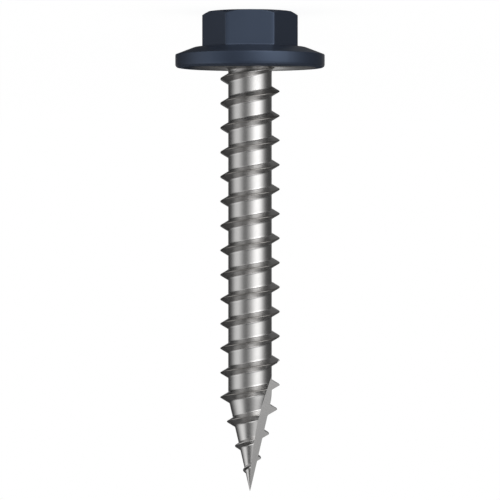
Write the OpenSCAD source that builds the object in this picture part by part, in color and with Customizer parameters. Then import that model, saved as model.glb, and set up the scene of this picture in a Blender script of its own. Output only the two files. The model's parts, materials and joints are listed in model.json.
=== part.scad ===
// Hex flange head wood screw with a coarse thread and a notched cutting point.
// One solid, formed from one piece of wire. All sizes are in millimetres.
// It stands on the flat top of its head: the origin is the middle of that face,
// +Z runs along the axis to the point, and two flats of the hex face +Y and -Y.

/* [Hex head] */
// Width of the hex across its flats
hex_across_flats = 7.85; // [7:0.01:9]
// Height of the hex from its top face to the flange
hex_height = 3.35; // [2:0.01:5]
// How far the chamfer on top reaches in from the hex's corners
hex_chamfer_reach = 0.59; // [0.2:0.01:1.2]
// Slope of that chamfer, in degrees
hex_chamfer_angle = 30; // [15:1:45]

/* [Flange] */
// Diameter of the flange
flange_diameter = 14.1; // [12.5:0.05:18]
// Height of the flange's upright rim
flange_rim_height = 1.24; // [0.8:0.01:2.5]
// Width of the level ledge between the hex's corners and the flange's slope
flange_ledge_width = 0.7; // [0.1:0.01:1]
// Slope of the flange's upper face, in degrees
flange_slope_angle = 21; // [5:0.5:35]
// Rounding of the rim's edge on the hex side
rim_upper_round = 0.12; // [0.05:0.01:0.3]
// Rounding of the rim's edge on the bearing side
rim_lower_round = 0.28; // [0.05:0.01:0.4]

/* [Shank] */
// Length from the flange's bearing face to the apex of the point
shank_length = 40; // [25:0.5:60]
// Diameter of the core between the threads
core_diameter = 4.12; // [3:0.01:4.6]
// Fillet between the core and the flange's bearing face
neck_fillet = 0.45; // [0.1:0.01:0.9]

/* [Thread] */
// Diameter over the thread's crests
thread_diameter = 5.6; // [5:0.01:6.5]
// Distance from one crest to the next
thread_pitch = 2.309; // [1.8:0.001:3]
// Width of the crest's flat edge
crest_width = 0.066; // [0.03:0.001:0.2]
// Angle between the two flanks, in degrees
flank_angle = 60; // [40:1:70]
// Distance from the bearing face to the crest where it first passes +X
first_crest_depth = 1.07; // [0.8:0.01:3]
// Angle from +X at which the thread, rising out of the bare neck, has its full height
thread_full_angle = -68; // [-80:1:60]
// Part of a turn over which the thread rises to that height, in degrees
thread_rise_angle = 200; // [60:1:260]
// Part of a turn over which the thread sinks into the point, in degrees
thread_fade_angle = 180; // [60:1:300]
// Distance from the end of the thread to the apex
thread_end_gap = 0.85; // [0.6:0.05:3]

/* [Point] */
// Length over which the core tapers to the apex
core_taper_length = 8.9; // [6:0.05:14]
// Length over which the crests taper towards the apex
crest_taper_length = 8.5; // [6:0.05:14]
// Length of the bevel that eases the straight core into its taper
taper_bevel_length = 0.8; // [0.2:0.05:2]
// Diameter of the tip's blunt end
tip_diameter = 0.04; // [0.02:0.01:0.3]
// Radius of the disc that cuts the notch in the point
notch_cutter_radius = 30.2; // [20:0.1:60]

/* [Hidden] */

// Facets round a circle
$fn = 96;
// Steps of the thread in each turn
thread_steps = 36;
// Depth to which the thread's foot is sunk in the core, so that the two are one solid
thread_foot_depth = 0.15;
// Length by which joined or cut shapes pass through each other
overlap = 0.5;

head_paint = "#3b4453";
bare_steel = "#c4c3bf";

hex_corner_radius = hex_across_flats / 2 / cos(30);
hex_top_radius = hex_corner_radius - hex_chamfer_reach;
flange_radius = flange_diameter / 2;
ledge_radius = hex_corner_radius + flange_ledge_width;
slope_height = (flange_radius - ledge_radius) * tan(flange_slope_angle);
rim_start = hex_height + slope_height;
head_height = rim_start + flange_rim_height;
core_radius = core_diameter / 2;
crest_radius = thread_diameter / 2;
apex_height = head_height + shank_length;
taper_start = apex_height - core_taper_length;
tip_radius = tip_diameter / 2;
tip_height = apex_height - core_taper_length * tip_radius / core_radius;

// Half of the crest's edge, and how far a flank runs along the axis for its height
crest_half = crest_width / 2;
flank_run = tan(flank_angle / 2);

// Angles round the axis from +X at which the thread starts and ends
thread_start_angle = thread_full_angle - thread_rise_angle;
thread_end_angle = 360 * (shank_length - thread_end_gap - first_crest_depth) / thread_pitch;
thread_sections = ceil((thread_end_angle - thread_start_angle) / 360 * thread_steps);

// Distance from the middle of the crest to the apex
function gap_to_apex(angle) = shank_length - first_crest_depth - thread_pitch * angle / 360;

// Radius of the core and of the crests at a distance from the apex
function core_radius_at(gap) = core_radius * min(1, gap / core_taper_length);
function crest_radius_at(gap) = crest_radius * min(1, gap / crest_taper_length);

// Share of the thread's full height: it rises under the head and fades at the point
function share_at(angle) = min(
    1,
    (angle - thread_start_angle) / thread_rise_angle,
    (thread_end_angle - angle) / thread_fade_angle
);

// One section of the thread in the plane of the axis: radius and height of its four corners
function thread_section(angle) =
    let (
        gap = gap_to_apex(angle),
        core = core_radius_at(gap),
        sunk = min(thread_foot_depth, core / 2),
        full_crest = crest_radius_at(gap),
        full_half = crest_half + (full_crest - core + sunk) * flank_run,
        foot = core_radius_at(gap - full_half) - sunk,
        hidden_crest = (foot + core) / 2,
        crest = hidden_crest + (full_crest - hidden_crest) * share_at(angle),
        foot_half = crest_half + (crest - foot) * flank_run,
        middle = apex_height - gap
    )
    [
        [foot, middle - foot_half],
        [crest, middle - crest_half],
        [crest, middle + crest_half],
        [foot, middle + foot_half]
    ];

function section_angle(i) =
    thread_start_angle + (thread_end_angle - thread_start_angle) * i / thread_sections;

function turned(corner, angle) =
    [corner[0] * cos(angle), corner[0] * sin(angle), corner[1]];

// What lies between a corner and the arc that rounds it. The two sides are unit vectors
// from the corner, and the shape is cut from a convex corner or added to a hollow one.
module corner_spandrel(corner, side_a, side_b, radius) {
    half_angle = acos(side_a * side_b) / 2;
    reach = radius / tan(half_angle);
    inward = (side_a + side_b) / norm(side_a + side_b);
    middle = corner + inward * radius / sin(half_angle);
    difference() {
        polygon([corner, corner + side_a * reach, middle, corner + side_b * reach]);
        translate(middle)
            circle(r = radius);
    }
}

module hex() {
    height = hex_height + overlap;
    color(head_paint)
    intersection() {
        cylinder(r = hex_corner_radius, h = height, $fn = 6);
        cylinder(
            r1 = hex_top_radius,
            r2 = hex_top_radius + height / tan(hex_chamfer_angle),
            h = height
        );
    }
}

module flange_section() {
    difference() {
        polygon([
            [0, hex_height],
            [ledge_radius, hex_height],
            [flange_radius, rim_start],
            [flange_radius, head_height],
            [0, head_height]
        ]);
        corner_spandrel(
            [flange_radius, rim_start],
            [0, 1],
            [-cos(flange_slope_angle), -sin(flange_slope_angle)],
            rim_upper_round
        );
        corner_spandrel([flange_radius, head_height], [-1, 0], [0, -1], rim_lower_round);
    }
}

module flange() {
    color(head_paint)
    rotate_extrude()
        flange_section();
}

// Half section of the core: a fillet at the neck, a straight length and a tapered point
module core_section() {
    half_bevel = taper_bevel_length / 2;
    polygon([
        [0, head_height - overlap],
        [core_radius, head_height - overlap],
        [core_radius, taper_start - half_bevel],
        [core_radius_at(core_taper_length - half_bevel), taper_start + half_bevel],
        [tip_radius, tip_height],
        [0, tip_height]
    ]);
    corner_spandrel([core_radius, head_height], [1, 0], [0, 1], neck_fillet);
}

module core() {
    color(bare_steel)
    rotate_extrude()
        core_section();
}

// The thread is one ridge swept along a right-hand helix, with its foot sunk in the core
module thread() {
    corners = 4;
    points = [
        for (i = [0:thread_sections])
            for (corner = thread_section(section_angle(i)))
                turned(corner, section_angle(i))
    ];
    sides = [
        for (i = [0:thread_sections - 1])
            for (j = [0:corners - 1])
                let (
                    a = i * corners + j,
                    b = i * corners + (j + 1) % corners
                )
                each [[a, b + corners, a + corners], [a, b, b + corners]]
    ];
    last = thread_sections * corners;
    ends = [
        [0, 2, 1],
        [0, 3, 2],
        [last, last + 1, last + 2],
        [last, last + 2, last + 3]
    ];
    color(bare_steel)
    polyhedron(points = points, faces = concat(sides, ends));
}

// The disc cutter: its flat face holds the screw's axis and its edge passes the apex
module notch_cutter() {
    translate([-notch_cutter_radius, 0, apex_height])
    rotate([90, 0, 0])
        cylinder(r = notch_cutter_radius, h = thread_diameter);
}

module shank() {
    difference() {
        union() {
            core();
            thread();
        }
        notch_cutter();
    }
}

module screw() {
    hex();
    flange();
    shank();
}

screw();
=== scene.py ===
"""The looks of a hex flange head wood screw: bare rolled steel with baked paint on its head.

The thread is a Geometry Nodes surface, wound along the helix. The head is a grid of columns
round the axis. The paint is a skin of its own, with the film's real thickness.
"""

import json
import math

import bmesh
import bpy
from bpy.props import FloatProperty, IntProperty, PointerProperty, StringProperty
from mathutils import Matrix, Vector


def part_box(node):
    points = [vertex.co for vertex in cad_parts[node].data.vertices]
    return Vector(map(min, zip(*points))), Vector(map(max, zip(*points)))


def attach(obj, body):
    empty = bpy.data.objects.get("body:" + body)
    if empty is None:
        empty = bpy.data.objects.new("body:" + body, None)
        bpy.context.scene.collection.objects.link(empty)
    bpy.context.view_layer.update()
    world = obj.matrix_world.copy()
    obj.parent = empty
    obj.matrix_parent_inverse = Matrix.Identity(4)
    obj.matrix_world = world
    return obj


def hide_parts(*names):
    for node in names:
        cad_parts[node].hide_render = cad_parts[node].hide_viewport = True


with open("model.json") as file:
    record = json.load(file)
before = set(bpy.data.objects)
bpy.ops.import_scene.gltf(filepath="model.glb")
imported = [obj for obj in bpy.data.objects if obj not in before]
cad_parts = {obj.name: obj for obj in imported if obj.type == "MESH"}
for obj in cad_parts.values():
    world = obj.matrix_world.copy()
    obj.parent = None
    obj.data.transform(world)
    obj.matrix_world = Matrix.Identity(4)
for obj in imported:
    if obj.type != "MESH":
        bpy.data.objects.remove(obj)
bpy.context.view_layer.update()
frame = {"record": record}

bl_info = {
    "name": "Hex flange wood screw",
    "version": (1, 0, 0),
    "blender": (4, 5, 0),
    "location": "View3D > Sidebar > Wood screw",
    "description": "Builds a painted hex flange head wood screw and a plain studio round it",
    "category": "Mesh",
}

MM = 0.001
NODE = "screw"
MATH = "ShaderNodeMath"
MAP_RANGE = "ShaderNodeMapRange"
# The attribute that says how far a point of the steel stands out of the core: 1 on the crest
RAISED = "raised"
# Vertices closer than this are one
MERGE = 0.0002 * MM
# Edges sharper than this, in degrees, stay sharp where the rest is shaded smooth
SHARP_ANGLE = 50


def mount_height(name):
    """Height of one of the record's mounts above the head's top face."""
    return next(m["pos_m"][2] for m in frame["record"]["mounts"] if m["name"] == name)


_, screw_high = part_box(NODE)
BEARING_HEIGHT = mount_height("bearing_face")
FLANGE_RADIUS = screw_high.x
TIP_HEIGHT = screw_high.z


def length(name, description, default):
    """A size in metres, shown in the scene's own unit."""
    return FloatProperty(
        name=name, description=description, default=default, unit="LENGTH", precision=5
    )


def angle(name, description, degrees):
    """An angle, kept in radians."""
    return FloatProperty(
        name=name, description=description, default=math.radians(degrees), subtype="ANGLE"
    )


def number(name, description, default):
    """A plain number, such as a level of light or a count of turns."""
    return FloatProperty(name=name, description=description, default=default)


def colour(name, description, default):
    """A colour as its sRGB hex value."""
    return StringProperty(name=name, description=description, default=default)


class HeadSizes(bpy.types.PropertyGroup):
    """Sizes of the hex, the flange and the paint on them."""

    across_flats: length("Across flats", "Width of the hex across its flats", 7.85 * MM)
    hex_height: length("Hex height", "From the top face to the flange", 3.35 * MM)
    chamfer_reach: length("Chamfer reach", "How far the chamfer cuts in at a corner", 0.59 * MM)
    chamfer_angle: angle("Chamfer angle", "Slope of the chamfer on the top face", 30)
    flange_radius: length("Flange radius", "Outer radius of the flange", FLANGE_RADIUS)
    ledge_width: length("Ledge width", "From the hex's corners to the slope", 0.7 * MM)
    slope_angle: angle("Slope angle", "Slope of the flange's upper face", 21)
    rim_upper_reach: length("Upper rim edge", "Reach of the rounding on the hex side", 0.08 * MM)
    rim_lower_reach: length("Lower rim edge", "Reach of the rounding on the other side", 0.28 * MM)
    corner_radius: length("Hex corner radius", "Rounding of the hex's six upright edges", 0.14 * MM)
    edge_reach: length("Edge softness", "Reach of the rounding on its other edges", 0.04 * MM)
    foot_reach: length("Foot fillet", "Reach of the fillet between hex and flange", 0.16 * MM)
    film: length("Paint film", "Thickness of the baked paint", 0.035 * MM)
    overspray: length("Overspray", "How far the paint reaches in on the bearing face", 0.5 * MM)
    front_border: length("Front border", "From the axis to the paint's border in front", 3.4 * MM)


class ShankSizes(bpy.types.PropertyGroup):
    """Sizes of the shank, the thread and the cutting point."""

    shank_length: length("Shank length", "From the bearing face to the apex", 40 * MM)
    core_radius: length("Core radius", "Radius of the core between the threads", 2.06 * MM)
    neck_fillet: length("Neck fillet", "Fillet between the core and the flange", 0.45 * MM)
    crest_radius: length("Crest radius", "Radius over the thread's crests", 2.8 * MM)
    pitch: length("Pitch", "Distance from one crest to the next", 2.309 * MM)
    crest_width: length("Crest width", "Width of the crest's edge", 0.066 * MM)
    crest_softness: length("Crest softness", "Rounding of the crest's edge", 0.02 * MM)
    flank_angle: angle("Flank angle", "Angle between the two flanks", 60)
    foot_softness: length("Foot softness", "Rounding between a flank and the core", 0.05 * MM)
    first_crest: length("First crest", "Depth of the crest where it first passes +X", 1.07 * MM)
    full_turn: number("Full turn", "Turns past +X at which the thread has its full height", -0.19)
    rise_turns: number("Rise", "Turns over which the thread rises out of the neck", 0.56)
    fade_turns: number("Fade", "Turns over which the thread sinks into the point", 0.5)
    thread_end_gap: length("Thread end gap", "From the thread's end to the apex", 0.85 * MM)
    core_taper: length("Core taper", "Length over which the core tapers", 8.9 * MM)
    crest_taper: length("Crest taper", "Length over which the crests taper", 8.5 * MM)
    taper_blend: length("Taper blend", "Softening where the taper starts", 0.22 * MM)
    notch_radius: length("Notch radius", "Radius of the disc that cuts the notch", 30.2 * MM)
    steps_per_turn: IntProperty(name="Steps", description="Sections in each turn", default=72)
    stations: IntProperty(name="Stations", description="Faces across one pitch", default=32)


class Finishes(bpy.types.PropertyGroup):
    """Colours of the steel and the paint, and the crests' darker steel, which is painted shade that
    dims their highlight.
    """

    steel: colour("Steel", "Bright rolled steel", "#c6c5c4")
    # The crest colour is painted shade: darker steel that dims the highlight along the crests
    crest: colour("Crest", "Folded crest of the thread, which mirrors less", "#9c9a97")
    paint: colour("Paint", "Baked slate blue paint", "#2b323f")
    sheen: colour("Sheen", "Tint of the light that the paint mirrors", "#bfd6fa")


def linear(hex_colour):
    """An sRGB hex value as linear RGBA."""
    def channel(start):
        value = int(hex_colour[start:start + 2], 16) / 255
        return value / 12.92 if value <= 0.04045 else ((value + 0.055) / 1.055) ** 2.4

    return (channel(1), channel(3), channel(5), 1.0)


def add(tree, kind, inputs=(), **settings):
    """Adds a node.

    Its inputs, by place or by name, are values, sockets, or nodes whose first output counts.
    """
    made = tree.nodes.new(kind)
    for name, value in settings.items():
        setattr(made, name, value)
    pairs = inputs.items() if isinstance(inputs, dict) else enumerate(inputs)
    for place, value in pairs:
        if isinstance(value, bpy.types.Node):
            value = value.outputs[0]
        if isinstance(value, bpy.types.NodeSocket):
            tree.links.new(value, made.inputs[place])
        else:
            made.inputs[place].default_value = value
    return made


def new_object(name, data):
    """Puts a mesh, a lamp or a camera in the scene as an object."""
    made = bpy.data.objects.new(name, data)
    bpy.context.scene.collection.objects.link(made)
    return made


def mesh_from(bm, name):
    """A plain mesh from an edited one, which is used up."""
    mesh = bpy.data.meshes.new(name)
    bm.to_mesh(mesh)
    bm.free()
    return mesh


def new_material(name):
    """A material with an empty node tree."""
    material = bpy.data.materials.new(name)
    material.use_nodes = True
    material.node_tree.nodes.clear()
    return material, material.node_tree


# Rolled thread

def thread_inputs(sizes, start_depth):
    """The named inputs of the thread's tree, as (kind of socket, value)."""
    size, count = "NodeSocketFloat", "NodeSocketInt"
    return {
        "Bearing Height": (size, BEARING_HEIGHT),
        "Shank Length": (size, sizes.shank_length),
        "Core Radius": (size, sizes.core_radius),
        "Crest Radius": (size, sizes.crest_radius),
        "Neck Fillet": (size, sizes.neck_fillet),
        "Pitch": (size, sizes.pitch),
        "Half Crest": (size, sizes.crest_width / 2),
        "Crest Softness": (size, sizes.crest_softness),
        "Foot Softness": (size, sizes.foot_softness),
        "Flank Run": (size, math.tan(sizes.flank_angle / 2)),
        "First Crest": (size, sizes.first_crest),
        "Full Turn": (size, sizes.full_turn),
        "Rise Turns": (size, sizes.rise_turns),
        "Fade Turns": (size, sizes.fade_turns),
        "End Gap": (size, sizes.thread_end_gap),
        "Core Taper": (size, sizes.core_taper),
        "Crest Taper": (size, sizes.crest_taper),
        "Taper Blend": (size, sizes.taper_blend),
        "Start Depth": (size, start_depth),
        "End Depth": (size, TIP_HEIGHT - BEARING_HEIGHT),
        "Steps": (count, sizes.steps_per_turn),
        "Stations": (count, sizes.stations),
    }


def thread_tree(inputs):
    """Geometry Nodes for the shank's surface: one band, a pitch wide, wound from neck to tip.

    A vertex lies at a turn along the helix and at a station across the pitch. Its depth is
    measured from the bearing face, and its radius is the larger of the core's and the ridge's.
    """
    tree = bpy.data.node_groups.new("rolled_thread", "GeometryNodeTree")
    tree.interface.new_socket("Geometry", in_out="OUTPUT", socket_type="NodeSocketGeometry")
    for name, (kind, _) in inputs.items():
        tree.interface.new_socket(name, in_out="INPUT", socket_type=kind)
    tree.interface.new_socket("Material", in_out="INPUT", socket_type="NodeSocketMaterial")
    given = add(tree, "NodeGroupInput").outputs
    pitch, run = given["Pitch"], given["Flank Run"]
    core_radius, crest_radius = given["Core Radius"], given["Crest Radius"]

    # Where the band starts and ends, in turns from the crest that first passes +X
    half_pitch = add(tree, MATH, (pitch, 2), operation="DIVIDE")
    top = add(tree, MATH, (given["Start Depth"], half_pitch), operation="SUBTRACT")
    top = add(tree, MATH, (top, given["First Crest"]), operation="SUBTRACT")
    first_turn = add(tree, MATH, (top, pitch), operation="DIVIDE")
    bottom = add(tree, MATH, (given["End Depth"], half_pitch), operation="ADD")
    bottom = add(tree, MATH, (bottom, given["First Crest"]), operation="SUBTRACT")
    last_turn = add(tree, MATH, (bottom, pitch), operation="DIVIDE")
    turns = add(tree, MATH, (last_turn, first_turn), operation="SUBTRACT")
    steps = add(tree, MATH, (turns, given["Steps"]), operation="MULTIPLY")
    steps = add(tree, MATH, (steps,), operation="CEIL")
    sections = add(tree, MATH, (steps, 1), operation="ADD")
    across = add(tree, MATH, (given["Stations"], 1), operation="ADD")
    grid = add(tree, "GeometryNodeMeshGrid", {"Vertices X": sections, "Vertices Y": across})

    # This vertex's turn and its station, the station from -1 to 1 across the pitch
    index = add(tree, "GeometryNodeInputIndex")
    section = add(tree, MATH, (index, across), operation="DIVIDE")
    section = add(tree, MATH, (section,), operation="FLOOR")
    passed = add(tree, MATH, (section, across), operation="MULTIPLY")
    station = add(tree, MATH, (index, passed), operation="SUBTRACT")
    turn = add(tree, MATH, (section, given["Steps"]), operation="DIVIDE")
    turn = add(tree, MATH, (turn, first_turn), operation="ADD")
    half_stations = add(tree, MATH, (given["Stations"], 2), operation="DIVIDE")
    place = add(tree, MATH, (station, half_stations), operation="DIVIDE")
    place = add(tree, MATH, (place, 1), operation="SUBTRACT")
    side = add(tree, MATH, (place,), operation="SIGN")
    reach = add(tree, MATH, (place,), operation="ABSOLUTE")

    # Depth of the helix at this turn, and the crest's and core's radii there
    middle = add(tree, MATH, (turn, pitch, given["First Crest"]), operation="MULTIPLY_ADD")
    gap = add(tree, MATH, (given["Shank Length"], middle), operation="SUBTRACT")
    core_share = add(tree, MATH, (gap, given["Core Taper"]), operation="DIVIDE")
    core_share = add(tree, MATH, (core_share, 1), operation="MINIMUM")
    core_here = add(tree, MATH, (core_share, core_radius), operation="MULTIPLY")
    crest_share = add(tree, MATH, (gap, given["Crest Taper"]), operation="DIVIDE")
    crest_share = add(tree, MATH, (crest_share, 1), operation="MINIMUM")
    full_crest = add(tree, MATH, (crest_share, crest_radius), operation="MULTIPLY")

    # The ridge rises out of the core at the neck and sinks into it towards the tip
    begun = add(tree, MATH, (turn, given["Full Turn"]), operation="SUBTRACT")
    begun = add(tree, MATH, (begun, given["Rise Turns"]), operation="DIVIDE")
    begun = add(tree, MATH, (begun, 1), operation="ADD", use_clamp=True)
    end_depth = add(tree, MATH, (given["Shank Length"], given["End Gap"]), operation="SUBTRACT")
    end_depth = add(tree, MATH, (end_depth, given["First Crest"]), operation="SUBTRACT")
    end_turn = add(tree, MATH, (end_depth, pitch), operation="DIVIDE")
    share = add(tree, MATH, (end_turn, turn), operation="SUBTRACT")
    share = add(tree, MATH, (share, given["Fade Turns"]), operation="DIVIDE", use_clamp=True)
    share = add(tree, MATH, (share, begun), operation="MULTIPLY")
    hidden = add(tree, MATH, (core_here, given["Foot Softness"]), operation="SUBTRACT")
    height = add(tree, MATH, (full_crest, hidden), operation="SUBTRACT")
    crest = add(tree, MATH, (height, share, hidden), operation="MULTIPLY_ADD")

    # Stations crowd towards the crest and cover the ridge, and the rest cover the core
    ridge_share = 0.625
    crowding = 1.3
    standing = add(tree, MATH, (crest, core_here), operation="SUBTRACT")
    standing = add(tree, MATH, (standing, 0), operation="MAXIMUM")
    half_ridge = add(tree, MATH, (standing, run, given["Half Crest"]), operation="MULTIPLY_ADD")
    half_ridge = add(tree, MATH, (half_ridge, given["Foot Softness"]), operation="ADD")
    inner = add(tree, MATH, (reach, ridge_share), operation="DIVIDE")
    inner = add(tree, MATH, (inner, 1), operation="MINIMUM")
    inner = add(tree, MATH, (inner, crowding), operation="POWER")
    inner = add(tree, MATH, (inner, half_ridge), operation="MULTIPLY")
    outer = add(tree, MATH, (reach, ridge_share), operation="SUBTRACT")
    outer = add(tree, MATH, (outer, 0), operation="MAXIMUM")
    outer = add(tree, MATH, (outer, 1 - ridge_share), operation="DIVIDE")
    groove = add(tree, MATH, (half_pitch, half_ridge), operation="SUBTRACT")
    away = add(tree, MATH, (outer, groove, inner), operation="MULTIPLY_ADD")
    away = add(tree, MATH, (away, side), operation="MULTIPLY")
    depth = add(tree, MATH, (middle, away), operation="ADD")
    depth = add(tree, MATH, (depth, given["Start Depth"]), operation="MAXIMUM")
    depth = add(tree, MATH, (depth, given["End Depth"]), operation="MINIMUM")

    # The ridge's radius: its flanks fall away from the crest's edge
    from_crest = add(tree, MATH, (depth, middle), operation="SUBTRACT")
    from_crest = add(tree, MATH, (from_crest,), operation="ABSOLUTE")
    from_edge = add(tree, MATH, (from_crest, given["Half Crest"]), operation="SUBTRACT")
    fall = add(tree, MATH, (from_edge, run), operation="DIVIDE")
    flank = add(tree, MATH, (crest, fall), operation="SUBTRACT")
    ridge = add(tree, MATH, (crest, flank, given["Crest Softness"]), operation="SMOOTH_MIN")

    # The core's radius: straight, tapered to the apex, and with a fillet at the neck
    gap_here = add(tree, MATH, (given["Shank Length"], depth), operation="SUBTRACT")
    cone = add(tree, MATH, (gap_here, given["Core Taper"]), operation="DIVIDE")
    cone = add(tree, MATH, (cone, core_radius), operation="MULTIPLY")
    core = add(tree, MATH, (core_radius, cone, given["Taper Blend"]), operation="SMOOTH_MIN")
    rise = add(tree, MATH, (given["Neck Fillet"], depth), operation="SUBTRACT")
    rise = add(tree, MATH, (rise, 0), operation="MAXIMUM")
    rise = add(tree, MATH, (rise, rise), operation="MULTIPLY")
    fillet = add(tree, MATH, (given["Neck Fillet"], given["Neck Fillet"]), operation="MULTIPLY")
    fillet = add(tree, MATH, (fillet, rise), operation="SUBTRACT")
    fillet = add(tree, MATH, (fillet,), operation="SQRT")
    fillet = add(tree, MATH, (given["Neck Fillet"], fillet), operation="SUBTRACT")
    core = add(tree, MATH, (core, fillet), operation="ADD")
    radius = add(tree, MATH, (core, ridge, given["Foot Softness"]), operation="SMOOTH_MAX")

    around = add(tree, MATH, (turn, math.tau), operation="MULTIPLY")
    x = add(tree, MATH, (around,), operation="COSINE")
    x = add(tree, MATH, (x, radius), operation="MULTIPLY")
    y = add(tree, MATH, (around,), operation="SINE")
    y = add(tree, MATH, (y, radius), operation="MULTIPLY")
    z = add(tree, MATH, (depth, given["Bearing Height"]), operation="ADD")
    position = add(tree, "ShaderNodeCombineXYZ", (x, y, z))
    wound = add(tree, "GeometryNodeSetPosition", {"Geometry": grid, "Position": position})
    above = add(tree, MATH, (radius, core), operation="SUBTRACT")
    highest = add(tree, MATH, (crest_radius, core_radius), operation="SUBTRACT")
    raised = add(tree, MATH, (above, highest), operation="DIVIDE", use_clamp=True)
    marked = {"Geometry": wound, "Name": RAISED, "Value": raised}
    marked = add(tree, "GeometryNodeStoreNamedAttribute", marked, data_type="FLOAT")
    closed = add(tree, "GeometryNodeMergeByDistance", {"Geometry": marked, "Distance": MERGE})
    real = add(tree, "GeometryNodeRealizeInstances", {"Geometry": closed})
    steel = {"Geometry": real, "Material": given["Material"]}
    finished = add(tree, "GeometryNodeSetMaterial", steel)
    add(tree, "NodeGroupOutput", (finished,))
    return tree


def set_input(tree, modifier, name, value):
    """Gives a modifier one of its tree's inputs, by the socket's identifier."""
    found = next(i for i in tree.interface.items_tree if i.name == name and i.in_out == "INPUT")
    modifier[found.identifier] = value


def thread_mesh(sizes, start_depth, material):
    """The shank's surface from its tree, as a plain mesh that is open at the neck and at the tip."""
    inputs = thread_inputs(sizes, start_depth)
    tree = thread_tree(inputs)
    carrier = new_object("thread_carrier", bpy.data.meshes.new("thread_carrier"))
    modifier = carrier.modifiers.new("Rolled thread", "NODES")
    modifier.node_group = tree
    for name, (_, value) in inputs.items():
        set_input(tree, modifier, name, value)
    set_input(tree, modifier, "Material", material)
    mesh = evaluated_mesh(carrier)
    bpy.data.objects.remove(carrier)
    return mesh


def evaluated_mesh(piece):
    """A piece's mesh with its modifiers worked in."""
    bpy.context.view_layer.update()
    graph = bpy.context.evaluated_depsgraph_get()
    return bpy.data.meshes.new_from_object(piece.evaluated_get(graph))


# Head

# One sixth of a turn, from one corner of the hex to the next
SECTOR = math.radians(60)


def corner_arc(across_flats, corner_radius):
    """Where the arc that rounds the hex's corner has its centre, and its half angle at the axis."""
    centre = (across_flats / 2 - corner_radius) / math.cos(SECTOR / 2)
    aside = corner_radius * math.sin(SECTOR / 2)
    return centre, math.atan2(aside, centre + corner_radius * math.cos(SECTOR / 2))


def hex_radius(turned, across_flats, corner_radius):
    """Distance from the axis to a hexagon with rounded corners, the first corner at angle 0."""
    centre, touch = corner_arc(across_flats, corner_radius)
    from_corner = (turned + SECTOR / 2) % SECTOR - SECTOR / 2
    if abs(from_corner) > touch:
        return across_flats / 2 / math.cos(SECTOR / 2 - abs(from_corner))
    sideways = centre * math.sin(from_corner)
    return centre * math.cos(from_corner) + math.sqrt(corner_radius**2 - sideways**2)


def head_columns(sizes):
    """Angles round the axis, with five on each rounded corner and the rest even along the flats."""
    _, touch = corner_arc(sizes.across_flats, sizes.corner_radius)
    flat_steps = 16
    corner_steps = 4
    angles = []
    for corner in range(6):
        start = corner * SECTOR
        for step in range(corner_steps):
            angles.append(start - touch + 2 * touch * step / corner_steps)
        for step in range(flat_steps):
            angles.append(start + touch + (SECTOR - 2 * touch) * step / flat_steps)
    return angles


def rounded(corners, steps):
    """A profile whose inner corners are arcs. Each corner is (point, reach along both sides)."""
    points = [corners[0][0]]
    for before, (corner, reach), after in zip(corners, corners[1:], corners[2:]):
        back = (before[0] - corner).normalized()
        ahead = (after[0] - corner).normalized()
        start = corner + back * reach
        end = corner + ahead * reach
        weight = math.sqrt(max(0.0, (1 - back.dot(ahead)) / 2))
        for step in range(steps + 1):
            t = step / steps
            a, b, c = (1 - t) ** 2, 2 * t * (1 - t) * weight, t**2
            points.append((start * a + corner * b + end * c) / (a + b + c))
    points.append(corners[-1][0])
    return points


def head_profile(turned, sizes, film, border):
    """Half section of the head at one angle, from the middle of the top face to the paint's border.

    film is how far the surface lies under the outer one, and border is the radius where it ends.
    """
    corner_radius = max(sizes.corner_radius - film, 0.02 * MM)
    wall = hex_radius(turned, sizes.across_flats - 2 * film, corner_radius)
    corner_distance = sizes.across_flats / 2 / math.cos(SECTOR / 2)
    cone_start = corner_distance - sizes.chamfer_reach - film / math.tan(sizes.chamfer_angle)
    cone_start += film / math.sin(sizes.chamfer_angle)
    cone_height = max(0.0, (wall - cone_start) * math.tan(sizes.chamfer_angle))
    # The top face ends at the chamfer, or short of the wall by room for both their roundings
    edge = sizes.edge_reach
    top_end = min(cone_start, wall - 2.2 * edge)
    ledge = corner_distance + sizes.ledge_width
    rim = sizes.flange_radius - film
    slope_height = (sizes.flange_radius - ledge) * math.tan(sizes.slope_angle)
    hex_foot = sizes.hex_height + film
    lower_side = BEARING_HEIGHT - film
    corners = [
        (Vector((0, film)), 0),
        (Vector((top_end, film)), edge),
        (Vector((wall, film + cone_height)), edge),
        (Vector((wall, hex_foot)), sizes.foot_reach),
        (Vector((ledge, hex_foot)), sizes.foot_reach),
        (Vector((rim, hex_foot + slope_height)), sizes.rim_upper_reach),
        (Vector((rim, lower_side)), sizes.rim_lower_reach),
        (Vector((border, lower_side)), 0),
    ]
    return rounded(corners, 4)


# Waves in the paint's border: height in millimetres, number round the head, and phase
BORDER_WAVES = ((0.06, 3, 0.7), (0.04, 7, 2.1), (0.025, 16, 4.0))
# How far outside the paint's border the steel steps up from under the film
BORDER_STEP = 0.05 * MM


def border_radius(turned, sizes):
    """Radius where the paint ends on the bearing face, slightly uneven as overspray is.

    In front, towards -Y, the border comes further in, up to a straight line.
    """
    outer = sizes.flange_radius - sizes.rim_lower_reach - sizes.overspray
    forward = max(-math.sin(turned), 0.0)
    blend = 6
    radius = (outer**-blend + (forward / sizes.front_border) ** blend) ** (-1 / blend)
    uneven = sum(high * math.sin(count * turned + phase) for high, count, phase in BORDER_WAVES)
    return radius + uneven * MM


def ring(bm, angles, radii, height):
    """A closed ring of vertices."""
    return [
        bm.verts.new((r * math.cos(a), r * math.sin(a), height))
        for a, r in zip(angles, radii)
    ]


def join_rings(bm, one, other):
    """Quads between two rings with as many vertices."""
    count = len(one)
    for i in range(count):
        j = (i + 1) % count
        bm.faces.new((one[i], one[j], other[j], other[i]))


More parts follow.
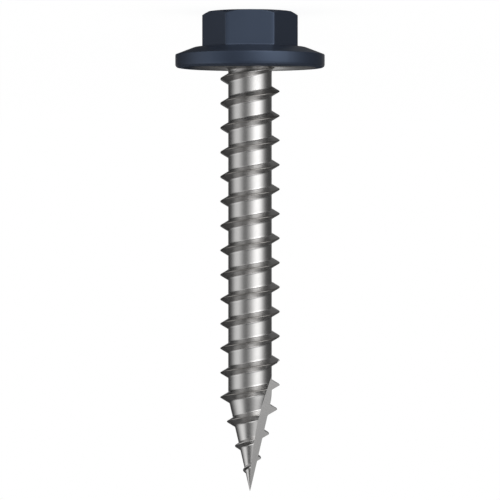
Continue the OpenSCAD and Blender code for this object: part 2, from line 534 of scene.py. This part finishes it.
def join_uneven_rings(bm, one, other):
    """Triangles between two rings with different numbers of vertices.

    Each ring is a list of (angle, vertex), sorted by angle.
    """
    i = j = 0
    while i < len(one) or j < len(other):
        next_one = one[(i + 1) % len(one)][0] + math.tau * ((i + 1) // len(one))
        next_other = other[(j + 1) % len(other)][0] + math.tau * ((j + 1) // len(other))
        a = one[i % len(one)][1]
        b = other[j % len(other)][1]
        if j >= len(other) or (i < len(one) and next_one <= next_other):
            bm.faces.new((a, one[(i + 1) % len(one)][1], b))
            i += 1
        else:
            bm.faces.new((a, other[(j + 1) % len(other)][1], b))
            j += 1


def head_surface(bm, sizes, film, border_gap):
    """Adds the head's surface to a mesh and returns its last ring, at the paint's border."""
    angles = head_columns(sizes)
    columns = [head_profile(a, sizes, film, border_radius(a, sizes) + border_gap) for a in angles]
    rows = list(zip(*columns))
    centre = bm.verts.new((0, 0, film))
    inner_shares = (0.3, 0.65, 0.92)
    first = rows[1]
    rings = [
        ring(bm, angles, [p[0] * share for p in first], film)
        for share in inner_shares
    ]
    for row in rows[1:]:
        made = [
            bm.verts.new((p[0] * math.cos(a), p[0] * math.sin(a), p[1]))
            for a, p in zip(angles, row)
        ]
        rings.append(made)
    for i, vertex in enumerate(rings[0]):
        bm.faces.new((centre, rings[0][(i + 1) % len(angles)], vertex))
    for one, other in zip(rings, rings[1:]):
        join_rings(bm, one, other)
    return angles, rings[-1]


def point_outwards(bm):
    """Turns all faces of a closed shell outwards."""
    bmesh.ops.recalc_face_normals(bm, faces=bm.faces)
    if bm.calc_volume(signed=True) < 0:
        bmesh.ops.reverse_faces(bm, faces=bm.faces)


def require_closed(bm, what):
    """Stops the script if a shell has an open or a shared edge."""
    loose = sum(len(edge.link_faces) != 2 for edge in bm.edges)
    if loose:
        raise RuntimeError(f"{what} isn't closed: {loose} edges don't join two faces")


def finish_mesh(bm, name, what):
    """Closes, turns and shades a shell, and returns it as a mesh."""
    bmesh.ops.remove_doubles(bm, verts=bm.verts, dist=MERGE)
    require_closed(bm, what)
    point_outwards(bm)
    mesh = mesh_from(bm, name)
    shade(mesh)
    return mesh


def shade(mesh):
    """Smooth shading that keeps the sharp edges."""
    mesh.shade_smooth()
    mesh.set_sharp_from_angle(angle=math.radians(SHARP_ANGLE))


def new_piece(name, mesh, material):
    """Puts a finished piece in the scene, on the body that it rides."""
    piece = new_object(name, mesh)
    mesh.materials.clear()
    mesh.materials.append(material)
    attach(piece, "root")
    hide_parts(NODE)
    return piece


def notch_cutter(sizes):
    """The disc's edge that cuts the notch, as a closed block: flat face on the axis, curved wall."""
    apex = BEARING_HEIGHT + sizes.shank_length
    depth = 1.6 * sizes.core_taper
    clearance = 1.5 * sizes.crest_radius
    steps = 96
    outline = [(-clearance, apex - depth), (-clearance, apex + clearance), (0.0, apex + clearance)]
    for step in range(steps + 1):
        below = depth * step / steps
        aside = math.sqrt(sizes.notch_radius**2 - below**2) - sizes.notch_radius
        outline.append((aside, apex - below))
    bm = bmesh.new()
    near = [bm.verts.new((x, 0, z)) for x, z in outline]
    far = [bm.verts.new((x, -clearance, z)) for x, z in outline]
    join_rings(bm, near, far)
    bm.faces.new(near)
    bm.faces.new(far)
    point_outwards(bm)
    return mesh_from(bm, "notch_cutter")


def cut_notch(mesh, sizes):
    """Takes the notch out of the body's mesh."""
    body = new_object("uncut_body", mesh)
    cutter = new_object("notch_cutter", notch_cutter(sizes))
    modifier = body.modifiers.new("Notch", "BOOLEAN")
    modifier.operation = "DIFFERENCE"
    modifier.solver = "MANIFOLD"
    modifier.object = cutter
    cut = evaluated_mesh(body)
    bpy.data.objects.remove(body)
    bpy.data.objects.remove(cutter)
    return cut


def steel_body_mesh(head, shank, material):
    """The whole steel screw in one closed mesh: head under the paint, neck, thread and point."""
    # The band starts a little past the bearing face, on the fillet
    start_depth = shank.neck_fillet / 15
    bm = bmesh.new()
    bm.from_mesh(thread_mesh(shank, start_depth, material))

    # The band's open edges: one round the neck, and one at the tip, which is closed
    open_edges = [edge for edge in bm.edges if edge.is_boundary]
    neck_end = BEARING_HEIGHT + shank.neck_fillet
    top = {v for edge in open_edges for v in edge.verts if v.co.z < neck_end}
    band_top = sorted((math.atan2(v.co.y, v.co.x) % math.tau, v) for v in top)
    tip = [edge for edge in open_edges if edge.verts[0] not in top]
    bmesh.ops.contextual_create(bm, geom=tip)

    # The head under the paint, up to the border, and the bare part of the bearing face
    angles, border = head_surface(bm, head, head.film, BORDER_STEP)
    step_down = [border_radius(a, head) for a in angles]
    bare = ring(bm, angles, step_down, BEARING_HEIGHT)
    join_rings(bm, border, bare)

    # The fillet from the bearing face to the band, which keeps whatever stands out there
    reach = [math.hypot(vertex.co.x, vertex.co.y) for _, vertex in band_top]
    around = [turned for turned, _ in band_top]
    fillet_steps = 6
    end_angle = math.acos(1 - start_depth / shank.neck_fillet)
    rings = []
    for step in range(fillet_steps):
        swept = end_angle * step / fillet_steps
        radius = shank.core_radius + shank.neck_fillet * (1 - math.sin(swept))
        height = BEARING_HEIGHT + shank.neck_fillet * (1 - math.cos(swept))
        rings.append(ring(bm, around, [max(radius, least) for least in reach], height))
    rings.append([vertex for _, vertex in band_top])
    for one, other in zip(rings, rings[1:]):
        join_rings(bm, one, other)
    outer = sorted((a % math.tau, v) for a, v in zip(angles, bare))
    join_uneven_rings(bm, outer, list(zip(around, rings[0])))

    whole = finish_mesh(bm, "steel_body", "the steel body")
    cut = cut_notch(whole, shank)
    shade(cut)
    return cut


def paint_mesh(head):
    """The paint as a closed skin: its outer face, and its inner face on the steel."""
    bm = bmesh.new()
    _, outer = head_surface(bm, head, 0, 0)
    _, inner = head_surface(bm, head, head.film, BORDER_STEP)
    join_rings(bm, outer, inner)
    return finish_mesh(bm, "paint_coat", "the paint")


# Materials

# The steel's roughness: the core's varies between two values, the flanks come from the dies
# rougher, and the folded crest is the roughest
CORE_ROUGHNESS = (0.2, 0.26)
FLANK_ROUGHNESS = 0.3
CREST_ROUGHNESS = 0.33
# The paint's, and that of its overspray, which dries matt
PAINT_ROUGHNESS = 0.3
OVERSPRAY_ROUGHNESS = 0.9
# Rolling marks lie this far apart, cloudy patches are this wide, and so is the orange peel
MARK_SPACING = 0.05 * MM
CLOUD_WIDTH = 0.35 * MM
PEEL_WIDTH = 0.4 * MM
BUMP_DEPTH = 0.01 * MM


def rolled_steel(finishes):
    """Bright cold-rolled steel: it mirrors softly, and the dies left fine marks round it."""
    material, tree = new_material("rolled_steel")
    place = add(tree, "ShaderNodeTexCoord").outputs["Object"]

    # Rolling marks follow each other along the axis, and each runs far round it
    along_axis = {"Vector": place, "Scale": (60, 60, 1 / MARK_SPACING)}
    along_axis = add(tree, "ShaderNodeMapping", along_axis)
    marks = add(tree, "ShaderNodeTexNoise", {"Vector": along_axis, "Scale": 1.0, "Detail": 4.0})
    bump = {"Height": marks, "Strength": 0.02, "Distance": BUMP_DEPTH}
    bump = add(tree, "ShaderNodeBump", bump)

    # Roughness by how far a point stands out of the core
    clouds = {"Vector": place, "Scale": 1 / CLOUD_WIDTH, "Detail": 3.0}
    clouds = add(tree, "ShaderNodeTexNoise", clouds)
    core = {"Value": clouds, "From Min": 0.3, "From Max": 0.7}
    core |= {"To Min": CORE_ROUGHNESS[0], "To Max": CORE_ROUGHNESS[1]}
    core = add(tree, MAP_RANGE, core)
    raised = add(tree, "ShaderNodeAttribute", attribute_name=RAISED).outputs["Fac"]
    flanks = {"Value": raised, "From Max": 0.12, "To Min": core, "To Max": FLANK_ROUGHNESS}
    flanks = add(tree, MAP_RANGE, flanks)
    bare_roughness = {"Value": raised, "From Min": 0.85, "From Max": 1.0}
    bare_roughness |= {"To Min": flanks, "To Max": CREST_ROUGHNESS}
    bare_roughness = add(tree, MAP_RANGE, bare_roughness)

    # Of the colour sockets of a Mix node, A is the input at place 6, B the one at 7
    # The crests take the darker crest colour: painted shade that dims their highlight
    crest_shade = add(tree, MAP_RANGE, {"Value": raised, "From Min": 0.8, "From Max": 0.97})
    tint = {0: crest_shade, 6: linear(finishes.steel), 7: linear(finishes.crest)}
    tint = add(tree, "ShaderNodeMix", tint, data_type="RGBA").outputs[2]

    # A mist of overspray dulls the bare part of the bearing face and darkens it with the paint's
    # colour; its spread, wider to the sides and heavier towards +X, is painted shade
    flat = add(tree, "ShaderNodeVectorMath", (place, (1, 0.5, 0)), operation="MULTIPLY")
    distance = add(tree, "ShaderNodeVectorMath", (flat,), operation="LENGTH").outputs["Value"]
    outside = {"Value": distance, "From Min": 2.85 * MM, "From Max": 6.5 * MM, "To Max": 0.75}
    outside = add(tree, MAP_RANGE, outside)
    x, _, z = add(tree, "ShaderNodeSeparateXYZ", (place,)).outputs
    on_face = add(tree, MATH, (z, BEARING_HEIGHT + 0.1 * MM), operation="LESS_THAN")
    # Painted shade: darker on the bearing face towards +X
    shade_towards_x = {"Value": x, "From Min": -2 * MM, "From Max": 3 * MM, "To Max": 0.4}
    shade_towards_x = add(tree, MAP_RANGE, shade_towards_x)
    overspray_and_shade = (on_face, shade_towards_x, outside)
    overspray_and_shade = add(tree, MATH, overspray_and_shade, operation="MULTIPLY_ADD", use_clamp=True)
    tint = {0: overspray_and_shade, 6: tint, 7: linear(finishes.paint)}
    tint = add(tree, "ShaderNodeMix", tint, data_type="RGBA").outputs[2]
    roughness = {"Value": overspray_and_shade, "To Min": bare_roughness, "To Max": OVERSPRAY_ROUGHNESS}
    roughness = add(tree, MAP_RANGE, roughness)

    steel = {"Base Color": tint, "Metallic": 1.0, "Roughness": roughness, "Normal": bump}
    steel = add(tree, "ShaderNodeBsdfPrincipled", steel)
    add(tree, "ShaderNodeOutputMaterial", {"Surface": steel})
    return material


def baked_paint(finishes):
    """Baked alkyd enamel, sprayed: satin, with the faint orange peel of a sprayed film."""
    material, tree = new_material("baked_paint")
    place = add(tree, "ShaderNodeTexCoord").outputs["Object"]
    peel = add(tree, "ShaderNodeTexNoise", {"Vector": place, "Scale": 1 / PEEL_WIDTH, "Detail": 2.0})
    bump = add(tree, "ShaderNodeBump", {"Height": peel, "Strength": 0.05, "Distance": BUMP_DEPTH})
    # What lies on the bearing face is overspray
    height = add(tree, "ShaderNodeSeparateXYZ", (place,)).outputs["Z"]
    roughness = {"Value": height, "From Min": BEARING_HEIGHT - 0.1 * MM, "From Max": BEARING_HEIGHT}
    roughness |= {"To Min": PAINT_ROUGHNESS, "To Max": OVERSPRAY_ROUGHNESS}
    roughness = add(tree, MAP_RANGE, roughness)
    paint = {
        "Base Color": linear(finishes.paint),
        "Roughness": roughness,
        "Specular IOR Level": 0.75,
        "Specular Tint": linear(finishes.sheen),
        "Normal": bump,
    }
    paint = add(tree, "ShaderNodeBsdfPrincipled", paint)
    add(tree, "ShaderNodeOutputMaterial", {"Surface": paint})
    return material


# Studio

class Studio(bpy.types.PropertyGroup):
    """Camera and light."""

    camera_distance: length("Camera distance", "From the screw's axis", 349.10 * MM)
    camera_height: length("Camera height", "Above the surface that the screw stands on", 22.484 * MM)
    view_angle: angle("View angle", "Field of view", 7.731)
    floor_radius: length("Floor radius", "Radius of the white floor", 3.0)
    floor_light: number("Floor light", "Level at which the floor lights the screw", 0.35)
    ambient: number("Ambient light", "Level at which the surroundings light the screw", 0.2)
    panel_distance: length("Panel distance", "Distance of the panels that the metal mirrors", 0.25)
    lamp_distance: length("Lamp distance", "From the screw's axis to the lamp in front", 1.0)
    lamp_height: length("Lamp height", "Above the surface that the screw stands on", 0.06)
    lamp_aim: length("Lamp aim", "Height of the point on the axis that the lamp faces", 0.02)
    lamp_width: length("Lamp width", "Width of the lamp", 0.7)
    lamp_depth: length("Lamp depth", "The lamp's other side", 0.1)
    lamp_power: number("Lamp power", "Power of the lamp in watts", 6.0)


# Brightness of the panels round the screw, by direction in degrees from the camera's side:
# positive towards -X, the picture's right. The three levels are for what stands level with the
# screw or lower, what is raised by 20 degrees, and what is steeply above or below
PANELS = (
    (-180, 0.64, 0.05, 0.10),
    (-165, 0.31, 0.04, 0.10),
    (-152, 0.07, 0.03, 0.12),
    (-138, 0.07, 0.06, 0.20),
    (-118, 0.12, 0.24, 0.50),
    (-98, 0.45, 0.62, 0.60),
    (-84, 0.85, 0.98, 0.54),
    (-64, 0.94, 1.16, 0.44),
    (-48, 0.60, 0.90, 0.36),
    (-33, 0.26, 0.34, 0.34),
    (-18, 0.26, 0.16, 0.40),
    (-4, 0.62, 0.18, 0.65),
    (10, 1.12, 0.36, 1.20),
    (24, 1.82, 0.60, 1.85),
    (40, 2.08, 0.89, 1.85),
    (56, 1.65, 0.80, 1.60),
    (68, 0.92, 0.50, 1.30),
    (82, 0.34, 0.25, 1.00),
    (98, 0.12, 0.12, 0.60),
    (118, 0.09, 0.10, 0.30),
    (140, 0.08, 0.06, 0.14),
    (163, 0.27, 0.06, 0.12),
)
BRIGHTEST = max(max(panel[1:]) for panel in PANELS)
# Elevations in degrees over which the level panels pass into the raised ones, these into the
# steep ones, and the steep ones into the dark roof
RAISED_PANELS = (-3, 20)
STEEP_PANELS = (42, 52)
ROOF = (61, 69)
# Share of the steep panels' light that comes from the roof
ROOF_SHARE = 0.02
# Cards underfoot, a bright one in front and a dark one behind: the share of the panels' level
# that each adds, and the elevations and angles to the side over which it sets in, in degrees
CARDS = (
    (0.95, (-14, -42), (75, 0)),
    (-0.88, (-3, -18), (140, 166)),
)
# Direction from which the cards' angles to the side are counted
CARDS_MIDDLE = 10
# How the white paper near the screw is seen: by the light that it gives back, and its own.
# Over these distances in metres it passes into plain white
PAPER = 0.3
PAPER_GLOW = 0.93
PAPER_ENDS = (0.08, 0.3)


def between(start, end):
    """A span of angles in degrees, as the inputs of a Map Range node."""
    return {"From Min": math.radians(start), "From Max": math.radians(end)}


def panel_shell(studio):
    """Lit panels all round the screw, which only gloss sees: cards below, a wall and a roof."""
    bm = bmesh.new()
    columns = 120
    angles = [math.tau * i / columns for i in range(columns)]
    wide = studio.panel_distance
    # Radius and height, as shares of the panels' distance
    profile = [(0.02, -1.6), (1.0, -1.2), (1.0, 1.2), (0.02, 1.6)]
    rings = [
        ring(bm, angles, [radius * wide] * columns, height * wide + studio.camera_height)
        for radius, height in profile
    ]
    for one, other in zip(rings, rings[1:]):
        join_rings(bm, one, other)
    shell = new_object("panel_shell", mesh_from(bm, "panel_shell"))
    shell.data.materials.append(panel_material(studio))
    shell.visible_camera = False
    shell.visible_diffuse = False
    shell.visible_shadow = False
    shell.visible_transmission = False
    return shell


def panel_ramp(tree, share, level_at):
    """A ramp round the screw through one column of PANELS, as shares of the brightest."""
    ramp = add(tree, "ShaderNodeValToRGB", (share,))
    stops = ramp.color_ramp.elements
    stops[0].position = 0.0
    stops[1].position = 1.0
    for panel in PANELS[1:]:
        stops.new((panel[0] + 180) / 360).color = (panel[level_at] / BRIGHTEST,) * 3 + (1,)
    for end in (stops[0], stops[-1]):
        end.color = (PANELS[0][level_at] / BRIGHTEST,) * 3 + (1,)
    return ramp


def panel_material(studio):
    """Lit panels: a brightness for each direction, a dark roof, and cards underfoot."""
    material, tree = new_material("studio_panels")
    place = add(tree, "ShaderNodeTexCoord").outputs["Object"]
    middle = (0, 0, studio.camera_height)
    place = add(tree, "ShaderNodeVectorMath", (place, middle), operation="SUBTRACT")
    x, y, z = add(tree, "ShaderNodeSeparateXYZ", (place,)).outputs

    # The direction round the screw, and the elevation
    towards_right = add(tree, MATH, (x, -1), operation="MULTIPLY")
    towards_camera = add(tree, MATH, (y, -1), operation="MULTIPLY")
    around = add(tree, MATH, (towards_right, towards_camera), operation="ARCTAN2")
    share = add(tree, MAP_RANGE, {"Value": around} | between(-180, 180))
    flat = add(tree, "ShaderNodeVectorMath", (place, (1, 1, 0)), operation="MULTIPLY")
    flat = add(tree, "ShaderNodeVectorMath", (flat,), operation="LENGTH").outputs["Value"]
    rise = add(tree, MATH, (z, flat), operation="ARCTAN2")

    # The panels, from the level ones up to the roof
    raised = add(tree, MAP_RANGE, {"Value": rise} | between(*RAISED_PANELS))
    levels = {0: raised, 6: panel_ramp(tree, share, 1), 7: panel_ramp(tree, share, 2)}
    levels = add(tree, "ShaderNodeMix", levels, data_type="RGBA").outputs[2]
    steep = add(tree, MATH, (rise,), operation="ABSOLUTE")
    steep = add(tree, MAP_RANGE, {"Value": steep} | between(*STEEP_PANELS))
    levels = {0: steep, 6: levels, 7: panel_ramp(tree, share, 3)}
    levels = add(tree, "ShaderNodeMix", levels, data_type="RGBA").outputs[2]
    roof = {"Value": rise, "To Min": BRIGHTEST, "To Max": ROOF_SHARE * BRIGHTEST}
    roof = add(tree, MAP_RANGE, roof | between(*ROOF))

    beside = add(tree, MATH, (around, math.radians(CARDS_MIDDLE)), operation="SUBTRACT")
    beside = add(tree, MATH, (beside,), operation="ABSOLUTE")
    cards = 1
    for added, elevations, sides in CARDS:
        sunk = add(tree, MAP_RANGE, {"Value": rise} | between(*elevations))
        aside = add(tree, MAP_RANGE, {"Value": beside, "To Max": added} | between(*sides))
        cards = add(tree, MATH, (sunk, aside, cards), operation="MULTIPLY_ADD")
    strength = add(tree, MATH, (roof, cards), operation="MULTIPLY")
    glow = add(tree, "ShaderNodeEmission", {"Color": levels, "Strength": strength})
    add(tree, "ShaderNodeOutputMaterial", {"Surface": glow})
    return material


def seen_white(tree):
    """1 for the rays that see the background: the camera's, and those off gloss or through glass."""
    rays = add(tree, "ShaderNodeLightPath").outputs
    seen = add(tree, MATH, (rays["Is Camera Ray"], rays["Is Glossy Ray"]), operation="MAXIMUM")
    return add(tree, MATH, (seen, rays["Is Transmission Ray"]), operation="MAXIMUM")


def white_floor(studio):
    """A plain white floor that keeps the screw's soft shadow."""
    material, tree = new_material("white_paper")
    paper = add(tree, "ShaderNodeBsdfDiffuse", {"Color": (PAPER, PAPER, PAPER, 1)})
    strength = {"Value": seen_white(tree), "To Min": studio.floor_light, "To Max": PAPER_GLOW}
    strength = add(tree, MAP_RANGE, strength)
    glow = add(tree, "ShaderNodeEmission", {"Color": (1, 1, 1, 1), "Strength": strength})
    near = add(tree, "ShaderNodeAddShader", (paper, glow))
    plain = add(tree, "ShaderNodeEmission", {"Color": (1, 1, 1, 1), "Strength": seen_white(tree)})
    place = add(tree, "ShaderNodeTexCoord").outputs["Object"]
    distance = add(tree, "ShaderNodeVectorMath", (place,), operation="LENGTH").outputs["Value"]
    away = {"Value": distance, "From Min": PAPER_ENDS[0], "From Max": PAPER_ENDS[1]}
    away = add(tree, MAP_RANGE, away)
    surface = add(tree, "ShaderNodeMixShader", (away, near, plain))
    add(tree, "ShaderNodeOutputMaterial", {"Surface": surface})

    bm = bmesh.new()
    bmesh.ops.create_circle(bm, cap_ends=True, radius=studio.floor_radius, segments=96)
    floor = new_object("floor", mesh_from(bm, "floor"))
    floor.data.materials.append(material)
    floor.visible_glossy = False
    return floor


def white_world(studio):
    """White where the background is seen, and an even grey where it lights."""
    world = bpy.data.worlds.new("white_world")
    bpy.context.scene.world = world
    world.use_nodes = True
    tree = world.node_tree
    tree.nodes.clear()
    level = {"Value": seen_white(tree), "To Min": studio.ambient, "To Max": 1.0}
    level = add(tree, MAP_RANGE, level)
    background = add(tree, "ShaderNodeBackground", {"Color": (1, 1, 1, 1), "Strength": level})
    add(tree, "ShaderNodeOutputWorld", {"Surface": background})


def front_light(studio):
    """A wide lamp that lights matt surfaces. The panels are what gloss sees."""
    data = bpy.data.lights.new("front_light", "AREA")
    data.shape = "RECTANGLE"
    data.size = studio.lamp_width
    data.size_y = studio.lamp_depth
    data.energy = studio.lamp_power
    lamp = new_object("front_light", data)
    place = Vector((0, -studio.lamp_distance, studio.lamp_height))
    towards = Vector((0, 0, studio.lamp_aim)) - place
    turned = towards.to_track_quat("-Z", "Y").to_matrix().to_4x4()
    lamp.matrix_world = Matrix.Translation(place) @ turned
    lamp.visible_camera = False
    lamp.visible_glossy = False


def front_camera(studio):
    """Looks along +Y with its top towards the head, as the photograph does."""
    data = bpy.data.cameras.new("camera")
    data.sensor_fit = "HORIZONTAL"
    data.angle = studio.view_angle
    camera = new_object("camera", data)
    right, up, back = Vector((-1, 0, 0)), Vector((0, 0, -1)), Vector((0, -1, 0))
    turned = Matrix((right, up, back)).transposed().to_4x4()
    place = Vector((0, -studio.camera_distance, studio.camera_height))
    camera.matrix_world = Matrix.Translation(place) @ turned
    bpy.context.scene.camera = camera


class SCREW_OT_steel_body(bpy.types.Operator):
    """Builds the steel screw: head, neck, rolled thread and notched point"""

    bl_idname = "screw.steel_body"
    bl_label = "Steel body"

    def execute(self, context):
        scene = context.scene
        material = rolled_steel(scene.screw_finishes)
        mesh = steel_body_mesh(scene.screw_head, scene.screw_shank, material)
        new_piece("steel_body", mesh, material)
        return {"FINISHED"}


class SCREW_OT_paint_coat(bpy.types.Operator):
    """Builds the paint on the head"""

    bl_idname = "screw.paint_coat"
    bl_label = "Paint coat"

    def execute(self, context):
        scene = context.scene
        material = baked_paint(scene.screw_finishes)
        new_piece("paint_coat", paint_mesh(scene.screw_head), material)
        return {"FINISHED"}


class SCREW_OT_stage(bpy.types.Operator):
    """Builds the floor, the panels, the light and the camera"""

    bl_idname = "screw.stage"
    bl_label = "Stage"

    def execute(self, context):
        studio = context.scene.screw_studio
        white_floor(studio)
        panel_shell(studio)
        white_world(studio)
        front_light(studio)
        front_camera(studio)
        context.scene.view_settings.view_transform = "Standard"
        return {"FINISHED"}


class SCREW_PT_panel(bpy.types.Panel):
    """Lists the screw's operators in the 3D view's sidebar"""

    bl_label = "Wood screw"
    bl_space_type = "VIEW_3D"
    bl_region_type = "UI"
    bl_category = "Wood screw"

    def draw(self, context):
        for operator in (SCREW_OT_steel_body, SCREW_OT_paint_coat, SCREW_OT_stage):
            self.layout.operator(operator.bl_idname)
        for group in ("screw_head", "screw_shank", "screw_finishes", "screw_studio"):
            settings = getattr(context.scene, group)
            for name in settings.__annotations__:
                self.layout.prop(settings, name)


GROUPS = {
    "screw_head": HeadSizes,
    "screw_shank": ShankSizes,
    "screw_finishes": Finishes,
    "screw_studio": Studio,
}
OTHERS = (SCREW_OT_steel_body, SCREW_OT_paint_coat, SCREW_OT_stage, SCREW_PT_panel)


def register():
    """Makes the classes known, and gives the scene its settings."""
    for name, group in GROUPS.items():
        bpy.utils.register_class(group)
        setattr(bpy.types.Scene, name, PointerProperty(type=group))
    for cls in OTHERS:
        bpy.utils.register_class(cls)


def unregister():
    """Takes the settings and the classes away again."""
    for cls in reversed(OTHERS):
        bpy.utils.unregister_class(cls)
    for name, group in GROUPS.items():
        delattr(bpy.types.Scene, name)
        bpy.utils.unregister_class(group)


def main():
    """Builds the stage and the screw."""
    register()
    bpy.ops.screw.stage()
    bpy.ops.screw.steel_body()
    bpy.ops.screw.paint_coat()


if __name__ == "__main__":
    main()
